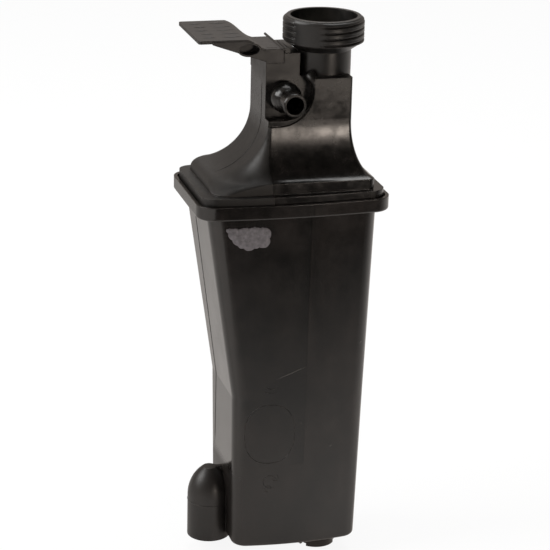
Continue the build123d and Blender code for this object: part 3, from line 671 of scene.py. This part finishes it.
class TANK_OT_corner_roll(bpy.types.Operator):
    """Lays the rolled lump where the pocket's upper corner meets the neck"""

    bl_idname = "tank.corner_roll"
    bl_label = "Corner roll"

    steps = 4
    sides = 20
    uneven = 0.06

    def execute(self, context):
        # The roll's middle line, with its radius at each point.
        line = [
            ((-0.0095, -0.0105, -0.0352), 0.0018), ((-0.0112, -0.0130, -0.0350), 0.0027),
            ((-0.0124, -0.0155, -0.0350), 0.0033), ((-0.0128, -0.0180, -0.0354), 0.0034),
            ((-0.0122, -0.0200, -0.0367), 0.0030), ((-0.0115, -0.0212, -0.0388), 0.0022),
            ((-0.0111, -0.0217, -0.0410), 0.0013), ((-0.0108, -0.0218, -0.0428), 0.0004),
        ]
        dense = []
        for (start, start_r), (end, end_r) in zip(line, line[1:]):
            for step in range(self.steps):
                share = step / self.steps
                dense.append((Vector(start).lerp(Vector(end), share), start_r + (end_r - start_r) * share))
        dense.append((Vector(line[-1][0]), line[-1][1]))
        rings = []
        for k, (place, radius) in enumerate(dense):
            along = (dense[min(k + 1, len(dense) - 1)][0] - dense[max(k - 1, 0)][0]).normalized()
            across = along.cross(Vector((1, 0, 0))).normalized()
            other = along.cross(across)
            ring = []
            for n in range(self.sides):
                angle = TURN * n / self.sides
                out = across * math.cos(angle) + other * math.sin(angle)
                ring.append(place + out * radius * (1 + self.uneven * math.sin(3 * angle + k / 3)))
            rings.append(ring)
        piece("corner_roll", *sweep(rings), bpy.data.materials[SHELL_NYLON], "shell_nylon")
        return {"FINISHED"}


class TANK_OT_parting_lines(bpy.types.Operator):
    """Lays the mould's parting lines on both shells"""

    bl_idname = "tank.parting_lines"
    bl_label = "Parting lines"

    points = 60

    def execute(self, context):
        sizes = context.scene.tank_sizes
        lower = surface_of("lower_shell")
        upper = surface_of("upper_shell")
        parts = []
        # Shell, plane that the rays start on, and the line's upper and lower ends in Y and Z.
        for shell, beside, start, end in (
            (lower, LEFT, (0.0080, -0.1230), (0.0205, -0.3000)),
            (lower, RIGHT, (0.0040, -0.1230), (0.0040, -0.3450)),
            (upper, LEFT, (-0.0035, -0.0400), (-0.0035, -0.0985)),
            (upper, RIGHT, (-0.0035, -0.0400), (-0.0035, -0.0970)),
        ):
            row = spread((beside, *start), (beside, *end), self.points)
            path = lay_on(shell, row, (-math.copysign(1, beside), 0, 0))
            parts.append(bead_on(path, sizes.seam_w, sizes.seam_h))
        piece("parting_lines", *join_parts(parts), bpy.data.materials[SHELL_NYLON], "shell_nylon")
        return {"FINISHED"}


class TANK_OT_front_marks(bpy.types.Operator):
    """Lays the oval witness mark, the small tool marks and the scratches on the front"""

    bl_idname = "tank.front_marks"
    bl_label = "Tool marks"

    oval_at = (-39.2 * MM, -269.2 * MM)
    oval_half = (16.6 * MM, 20.7 * MM)
    oval_power = 0.85
    oval_points = 140
    oval_bead = (0.5 * MM, 0.06 * MM)
    arc_points = 24
    arc_bead = (0.45 * MM, 0.09 * MM)
    scratch_points = 12
    scratch_bead = (0.32 * MM, 0.05 * MM)

    def oval(self):
        """Points of the oval, which is slightly squarer than an ellipse."""
        points = []
        for i in range(self.oval_points):
            angle = TURN * i / self.oval_points
            across = math.copysign(abs(math.cos(angle)) ** self.oval_power, math.cos(angle))
            up = math.copysign(abs(math.sin(angle)) ** self.oval_power, math.sin(angle))
            x = self.oval_at[0] + self.oval_half[0] * across
            points.append((x, AHEAD, self.oval_at[1] + self.oval_half[1] * up))
        return points

    def arc(self, x, z, radius, first, last):
        """Points of an arc between two angles."""
        points = []
        for i in range(self.arc_points):
            angle = first + (last - first) * i / (self.arc_points - 1)
            points.append((x + radius * math.cos(angle), AHEAD, z + radius * math.sin(angle)))
        return points

    def execute(self, context):
        front = surface_of("lower_shell")
        inward = (0, 1, 0)
        parts = [bead_on(lay_on(front, self.oval(), inward), *self.oval_bead, closed=True)]
        # Middle in X and Z, radius, first and last angle.
        for mark in (
            (-0.0393, -0.2325, 0.0074, -2.2, -0.95), (-0.0385, -0.2322, 0.0050, -2.5, -0.7),
            (-0.0382, -0.3035, 0.0045, 0.2, 5.6), (-0.0393, -0.3085, 0.0022, 0.0, 5.0),
            (-0.0345, -0.3010, 0.0020, -3.0, 1.4),
        ):
            parts.append(bead_on(lay_on(front, self.arc(*mark), inward), *self.arc_bead))
        piece("tool_marks", *join_parts(parts), bpy.data.materials[SHELL_NYLON], "shell_nylon")
        # Scuffed nylon: the torn skin is paler and matt.
        scuff = even_material(
            "scuffed_nylon", linear("#4b4743"), linear("#6a6560"), rough=0.7, cloud_mm=2.0,
        )
        scratches = []
        # Both ends of each scratch in X and Z.
        for start, end in (
            ((-0.0361, -0.2306), (-0.0166, -0.2229)), ((0.0017, -0.2818), (0.0034, -0.2807)),
            ((0.0197, -0.2107), (0.0219, -0.2092)), ((-0.0187, -0.2629), (-0.0179, -0.2624)),
            ((-0.0563, -0.2701), (-0.0555, -0.2697)),
        ):
            row = spread((start[0], AHEAD, start[1]), (end[0], AHEAD, end[1]), self.scratch_points)
            scratches.append(bead_on(lay_on(front, row, inward), *self.scratch_bead))
        piece("scratches", *join_parts(scratches), scuff, "shell_nylon")
        return {"FINISHED"}


class TANK_OT_outlet_shoulder(bpy.types.Operator):
    """Lays the small shoulder where the outlet's bell meets its straight part"""

    bl_idname = "tank.outlet_shoulder"
    bl_label = "Outlet shoulder"

    first_angle = math.radians(62)
    arc_angle = math.radians(236)
    steps = 96
    reach = 1.02
    bead_w = 0.7 * MM
    bead_h = 0.22 * MM

    def execute(self, context):
        lower = surface_of("lower_shell")
        sizes = context.scene.tank_sizes
        middle = Vector(sizes.outlet_at)
        path = []
        for i in range(self.steps + 1):
            angle = self.first_angle + self.arc_angle * i / self.steps
            out = Vector((math.cos(angle), math.sin(angle), 0))
            hit = lay_on(lower, [middle + out * 2 * sizes.outlet_r], -out)
            if hit and (hit[0][0] - middle).length < self.reach * sizes.outlet_r:
                path.append(hit[0])
        bead = bead_on(path, self.bead_w, self.bead_h)
        piece("outlet_shoulder", *bead, bpy.data.materials[BODY_NYLON], "shell_nylon")
        return {"FINISHED"}


class TANK_OT_paint_dab(bpy.types.Operator):
    """Adds the grey dab of marking paint under the band"""

    bl_idname = "tank.paint_dab"
    bl_label = "Paint dab"

    low_left = (-0.0770, -0.1440)
    spread_w = 36 * MM
    spread_h = 24 * MM
    step = 0.4 * MM
    band_foot = -120.6 * MM
    thins_above = -126.2 * MM
    thins_over = 2.4 * MM
    rim = -0.10
    under_skin = -0.12
    thin_film = 0.05
    crown = 0.85
    full_depth = 0.8

    def film(self, x, z, lobes):
        """Height of the dab's skin over the wall, or None outside its rim. It is domed over each
        round lobe, thins out towards the band and dives under the wall's skin at its rim."""
        near = max(1 - math.hypot(x - cx, z - cz) / r for cx, cz, r in lobes)
        depth = near - max(0.0, (z - self.thins_above) / self.thins_over)
        if depth < self.rim or z > self.band_foot:
            return None
        if depth > 0:
            return (self.thin_film + self.crown * math.sqrt(min(depth, self.full_depth))) * MM
        return self.under_skin * MM

    def execute(self, context):
        lower = surface_of("lower_shell")
        # Marking paint, dabbed on: thick, uneven, grey and dull.
        paint = even_material(
            "marking_paint_dabbed", list(context.scene.tank_colours.paint), linear("#787275"),
            rough=0.55, cloud_mm=2.2, ior=1.47, texture_mm=0.3,
        )
        # Middle in X and Z and radius of each lobe of the dab's outline.
        lobes = [
            (-0.0660, -0.1302, 0.0036), (-0.0632, -0.1338, 0.0036), (-0.0604, -0.1362, 0.0034),
            (-0.0562, -0.1370, 0.0042), (-0.0518, -0.1362, 0.0036), (-0.0472, -0.1352, 0.0044),
            (-0.0466, -0.1306, 0.0044), (-0.0480, -0.1285, 0.0036), (-0.0545, -0.1312, 0.0060),
            (-0.0605, -0.1306, 0.0048), (-0.0690, -0.1272, 0.0020), (-0.0655, -0.1276, 0.0024),
            (-0.0590, -0.1274, 0.0030), (-0.0530, -0.1272, 0.0034),
        ]
        verts = []
        index = {}
        for i in range(int(self.spread_w / self.step) + 1):
            for j in range(int(self.spread_h / self.step) + 1):
                x = self.low_left[0] + i * self.step
                z = self.low_left[1] + j * self.step
                rise = self.film(x, z, lobes)
                hit = [] if rise is None else lay_on(lower, [(x, AHEAD, z)], (0, 1, 0))
                if hit:
                    place, normal = hit[0]
                    index[(i, j)] = len(verts)
                    verts.append(place + normal * rise)
        faces = []
        for (i, j), a in index.items():
            corners = [(i + 1, j), (i + 1, j + 1), (i, j + 1)]
            if all(c in index for c in corners):
                faces.append((a, *(index[c] for c in corners)))
        piece("paint_dab", verts, faces, paint, "shell_nylon")
        return {"FINISHED"}


class TANK_OT_tab_rows(bpy.types.Operator):
    """Raises blank rows on the label tab, where the real one is embossed"""

    bl_idname = "tank.tab_rows"
    bl_label = "Blank rows on the tab"

    rows = 5
    first_y = 35.0 * MM
    row_step = 10.0 * MM
    row_w = 2.2 * MM
    left_x = -80.0 * MM
    columns_w = 28.0 * MM
    stagger = 1.0 * MM
    points = 10

    def execute(self, context):
        sizes = context.scene.tank_sizes
        tab = surface_of("label_tab")
        parts = []
        for row in range(self.rows):
            y = self.first_y - row * self.row_step
            # Each row has a short and a long piece: where it starts across the columns, its length.
            for share, length in ((0.0, 8.5 * MM), (0.45, 12.5 * MM)):
                x = self.left_x + share * self.columns_w + self.stagger * (row % 2)
                line = spread((x, y, ABOVE), (x + length, y, ABOVE), self.points)
                parts.append(bead_on(lay_on(tab, line, (0, 0, -1)), self.row_w, sizes.row_h))
        piece("tab_rows", *join_parts(parts), bpy.data.materials[TAB_NYLON], "tab_nylon")
        return {"FINISHED"}


def backdrop_rays(tree):
    """1 for rays that should see the plain backdrop: from the camera, in gloss and through glass."""
    path = add_node(tree, "ShaderNodeLightPath").outputs
    seen = add_node(
        tree, "ShaderNodeMath", {"operation": "MAXIMUM"},
        {0: path["Is Camera Ray"], 1: path["Is Glossy Ray"]},
    )
    both = add_node(
        tree, "ShaderNodeMath", {"operation": "MAXIMUM"},
        {0: seen.outputs[0], 1: path["Is Transmission Ray"]},
    )
    return both.outputs[0]


def backdrop_tone(tree):
    """White for the eye and slightly warm in gloss, as paper looks in black plastic."""
    path = add_node(tree, "ShaderNodeLightPath").outputs
    tone = add_node(
        tree, "ShaderNodeMix", {"data_type": "RGBA", 6: (1, 1, 1, 1), 7: linear("#fff2e7")},
        {0: path["Is Glossy Ray"]},
    )
    return tone.outputs[2]


def board(name, low, high, material):
    """Flat board of the stage between two opposite corners that share one coordinate."""
    first, second = [axis for axis in range(3) if low[axis] != high[axis]]
    corners = [list(low), list(low), list(high), list(low)]
    corners[1][first] = high[first]
    corners[3][second] = high[second]
    mesh = bpy.data.meshes.new(name)
    mesh.from_pydata(corners, [], [(0, 1, 2, 3)])
    thing = bpy.data.objects.new(name, mesh)
    bpy.context.scene.collection.objects.link(thing)
    mesh.materials.append(material)
    return thing


def floor_board(scene, low):
    """Painted matt board under the tank: mostly the plain backdrop to the eye, less so in gloss, and
    lit paint for the rest, which keeps the tank's shadow."""
    half = 4
    material, tree = new_material("painted_board_matt")
    path = add_node(tree, "ShaderNodeLightPath").outputs
    part = add_node(
        tree, "ShaderNodeMapRange", {"To Min": 0.9, "To Max": 0.5}, {"Value": path["Is Glossy Ray"]},
    )
    share = add_node(
        tree, "ShaderNodeMath", {"operation": "MULTIPLY"}, {0: backdrop_rays(tree), 1: part.outputs[0]},
    )
    matt = add_node(
        tree, "ShaderNodeBsdfDiffuse", {"Color": list(scene.tank_colours.floor), "Roughness": 0.9},
    )
    glow = add_node(tree, "ShaderNodeEmission", {"Strength": 1.0}, {"Color": backdrop_tone(tree)})
    mixed = add_node(
        tree, "ShaderNodeMixShader", links={0: share.outputs[0], 1: matt.outputs[0], 2: glow.outputs[0]},
    )
    finish_material(tree, mixed)
    board("floor", (-half, -half, low), (half, half, low), material)


def studio_world(scene):
    """White room for the eye and through glass, and a dimmer one as light and in gloss."""
    world = bpy.data.worlds.new("studio")
    scene.world = world
    world.use_nodes = True
    tree = world.node_tree
    tree.nodes.clear()
    path = add_node(tree, "ShaderNodeLightPath").outputs
    shown = add_node(
        tree, "ShaderNodeMapRange", {"To Min": 0.42, "To Max": 1.0}, {"Value": path["Is Camera Ray"]},
    )
    through = add_node(
        tree, "ShaderNodeMath", {"operation": "MAXIMUM"},
        {0: shown.outputs[0], 1: path["Is Transmission Ray"]},
    )
    sky = add_node(
        tree, "ShaderNodeBackground", links={"Color": backdrop_tone(tree), "Strength": through.outputs[0]},
    )
    add_node(tree, "ShaderNodeOutputWorld", links={"Surface": sky.outputs[0]})


def felt_material(name, near, far, most):
    """Black felt on a studio flag, thinned out towards the object: from clear at one depth to its
    full strength at another, so that gloss fades into the dark of the room without an edge."""
    material, tree = new_material(name)
    place = add_node(tree, "ShaderNodeTexCoord").outputs["Object"]
    axes = add_node(tree, "ShaderNodeSeparateXYZ", links={0: place}).outputs
    cover = add_node(
        tree, "ShaderNodeMapRange", {"From Min": near, "From Max": far, "To Max": most},
        {"Value": axes["Y"]},
    )
    clear = add_node(tree, "ShaderNodeBsdfTransparent")
    felt = add_node(tree, "ShaderNodeBsdfDiffuse", {"Color": linear("#0a0a0a")})
    mixed = add_node(
        tree, "ShaderNodeMixShader", links={0: cover.outputs[0], 1: clear.outputs[0], 2: felt.outputs[0]},
    )
    finish_material(tree, mixed)
    return material


def studio_flags(low):
    """Dark flags that only gloss sees, so that the black plastic reflects a dark room in front and to
    the right, and pale paper to the left."""
    table = low + 4 * MM    # just above the floor
    # Opposite corners, depth in Y where the felt starts and is full, and its full strength.
    for name, start, end, near, far, most in (
        ("flag_table", (-0.26, -2.0, table), (2.2, -0.05, table), -0.09, -0.60, 0.97),
        ("flag_behind", (-2.2, -0.04, table), (0.3, 2.6, table), -0.6, 1.15, 0.55),
        ("flag_front", (-0.34, -1.95, low), (2.2, -1.95, 1.7), 0.0, -1.0, 0.86),
        ("flag_top", (-0.30, -1.95, 1.4), (2.2, 0.25, 1.4), 0.9, 0.0, 0.86),
        ("flag_right", (1.9, -1.95, low), (1.9, 0.3, 1.5), 0.9, 0.0, 0.7),
    ):
        flag = board(name, start, end, felt_material(name + "_felt", near, far, most))
        flag.visible_camera = False
        flag.visible_diffuse = False
        flag.visible_transmission = False
        flag.visible_volume_scatter = False
        flag.visible_shadow = False


def studio_lamps(scene):
    """Two large neutral boxes to the left and above, and a low warm strip in front."""
    aim = Vector((-0.03, 0.0, -0.18))
    # Place, width and height, watts, tone.
    for name, place, size, power, tone in (
        ("left_box", (-1.3, 0.1, 0.7), (0.9, 0.9), 16.0, "#fffffe"),
        ("top_box", (0.2, 0.5, 1.2), (1.0, 1.0), 14.0, "#fffffe"),
        ("low_strip", (0.47, -1.24, -0.165), (0.36, 0.19), 2.9, "#fff0e2"),
    ):
        lamp = bpy.data.lights.new(name, "AREA")
        lamp.shape = "RECTANGLE"
        lamp.size = size[0]
        lamp.size_y = size[1]
        lamp.energy = power
        lamp.color = linear(tone)[:3]
        thing = bpy.data.objects.new(name, lamp)
        thing.location = place
        thing.rotation_euler = (aim - Vector(place)).to_track_quat("-Z", "Y").to_euler()
        scene.collection.objects.link(thing)


def photo_camera(scene):
    """Camera at the photograph's angle, solved from the neck's circles, the upright edges and the base."""
    place = Vector((-0.38005, -1.25703, 0.28042))
    azimuth = math.radians(-15.647)
    tilt = math.radians(19.13)
    roll = math.radians(1.408)
    camera_data = bpy.data.cameras.new("photo_camera")
    camera_data.sensor_width = 36.0
    camera_data.lens = 137.97
    camera_data.clip_start = 0.05
    camera = bpy.data.objects.new("photo_camera", camera_data)
    right = Vector((math.cos(azimuth), math.sin(azimuth), 0))
    forward = Vector((
        -math.sin(azimuth) * math.cos(tilt), math.cos(azimuth) * math.cos(tilt), -math.sin(tilt),
    ))
    up = right.cross(forward)
    x_axis = right * math.cos(roll) + up * math.sin(roll)
    y_axis = -right * math.sin(roll) + up * math.cos(roll)
    turn = Matrix((x_axis, y_axis, -forward)).transposed().to_4x4()
    camera.matrix_world = Matrix.Translation(place) @ turn
    scene.collection.objects.link(camera)
    scene.camera = camera


class TANK_OT_stage(bpy.types.Operator):
    """Sets the floor, the lights, the background and the camera"""

    bl_idname = "tank.stage"
    bl_label = "Stage"

    def execute(self, context):
        scene = context.scene
        low = CAD_BOX[0][2]
        floor_board(scene, low)
        studio_world(scene)
        studio_flags(low)
        studio_lamps(scene)
        photo_camera(scene)
        scene.view_settings.view_transform = "Standard"
        return {"FINISHED"}


class TANK_PT_looks(bpy.types.Panel):
    """Lists the sizes, the colours and the steps"""

    bl_idname = "TANK_PT_looks"
    bl_label = "Expansion tank"
    bl_space_type = "VIEW_3D"
    bl_region_type = "UI"
    bl_category = "Tank"

    def draw(self, context):
        for group in (context.scene.tank_sizes, context.scene.tank_colours):
            for name in group.__annotations__:
                self.layout.prop(group, name)
        for step in STEPS:
            self.layout.operator(step.bl_idname)


STEPS = (
    TANK_OT_finishes, TANK_OT_neck_thread, TANK_OT_corner_roll, TANK_OT_parting_lines,
    TANK_OT_front_marks, TANK_OT_outlet_shoulder, TANK_OT_paint_dab, TANK_OT_tab_rows, TANK_OT_stage,
)
CLASSES = (TankSizes, TankColours, *STEPS, TANK_PT_looks)


def register():
    """Registers the classes and the scene's settings."""
    for cls in CLASSES:
        bpy.utils.register_class(cls)
    bpy.types.Scene.tank_sizes = PointerProperty(type=TankSizes)
    bpy.types.Scene.tank_colours = PointerProperty(type=TankColours)


def unregister():
    """Removes the settings and the classes."""
    del bpy.types.Scene.tank_colours
    del bpy.types.Scene.tank_sizes
    for cls in reversed(CLASSES):
        bpy.utils.unregister_class(cls)


def main():
    """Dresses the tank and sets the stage."""
    register()
    bpy.ops.tank.finishes()
    bpy.ops.tank.neck_thread()
    bpy.ops.tank.corner_roll()
    bpy.ops.tank.parting_lines()
    bpy.ops.tank.front_marks()
    bpy.ops.tank.outlet_shoulder()
    bpy.ops.tank.paint_dab()
    bpy.ops.tank.tab_rows()
    bpy.ops.tank.stage()


if __name__ == "__main__":
    main()
